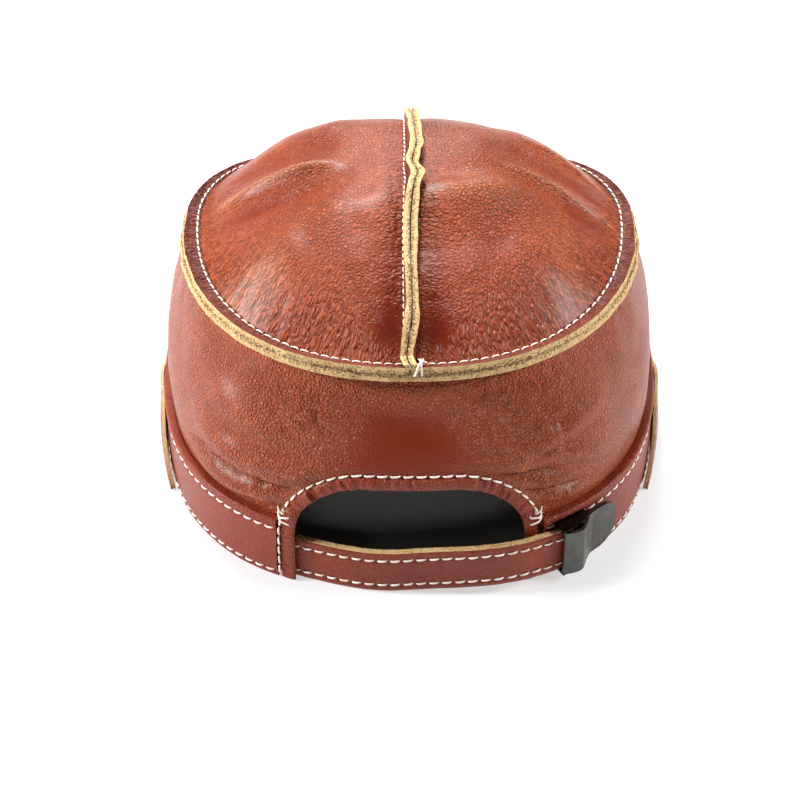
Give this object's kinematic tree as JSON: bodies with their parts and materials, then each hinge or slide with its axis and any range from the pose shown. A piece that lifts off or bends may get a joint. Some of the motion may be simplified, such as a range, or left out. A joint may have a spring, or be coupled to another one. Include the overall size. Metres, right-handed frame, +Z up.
{
  "type": "leather cap",
  "caption": "Brown leather cap with a domed seamed crown, short turned-up ear flaps, a peak, and an arched rear opening crossed by a strap with a lever buckle.",
  "frame": {"origin": "middle of the cap's footprint, peak and buckle included, on the surface that its rim stands on", "axes": "+Z up through the crown, +Y forward to the peak, +X to the wearer's right, where the buckle is"},
  "size_m": [0.1824, 0.2452, 0.1251],
  "materials": {
    "crown_leather": "semi-gloss",
    "band_leather": "semi-gloss",
    "buckle_metal": "satin gunmetal",
    "lining_cloth": "matte"
  },
  "bodies": {
    "cap": {"top_panel_left": "crown_leather", "top_panel_right": "crown_leather", "side_wall": "crown_leather", "headband": "band_leather", "opening_binding": "band_leather", "back_strap": "band_leather", "buckle_frame": "buckle_metal", "ear_flap_left": "crown_leather", "ear_flap_right": "crown_leather", "lining": "lining_cloth", "peak": "crown_leather"},
    "lever": {"buckle_lever": "buckle_metal"}
  },
  "joints": [
    {"name": "lever_hinge", "type": "hinge", "parent": "cap", "child": "lever", "pos_m": [0.05411, -0.11521, 0.0137], "axis": [0, 0, -1], "range_deg": [0, 110]}
  ]
}
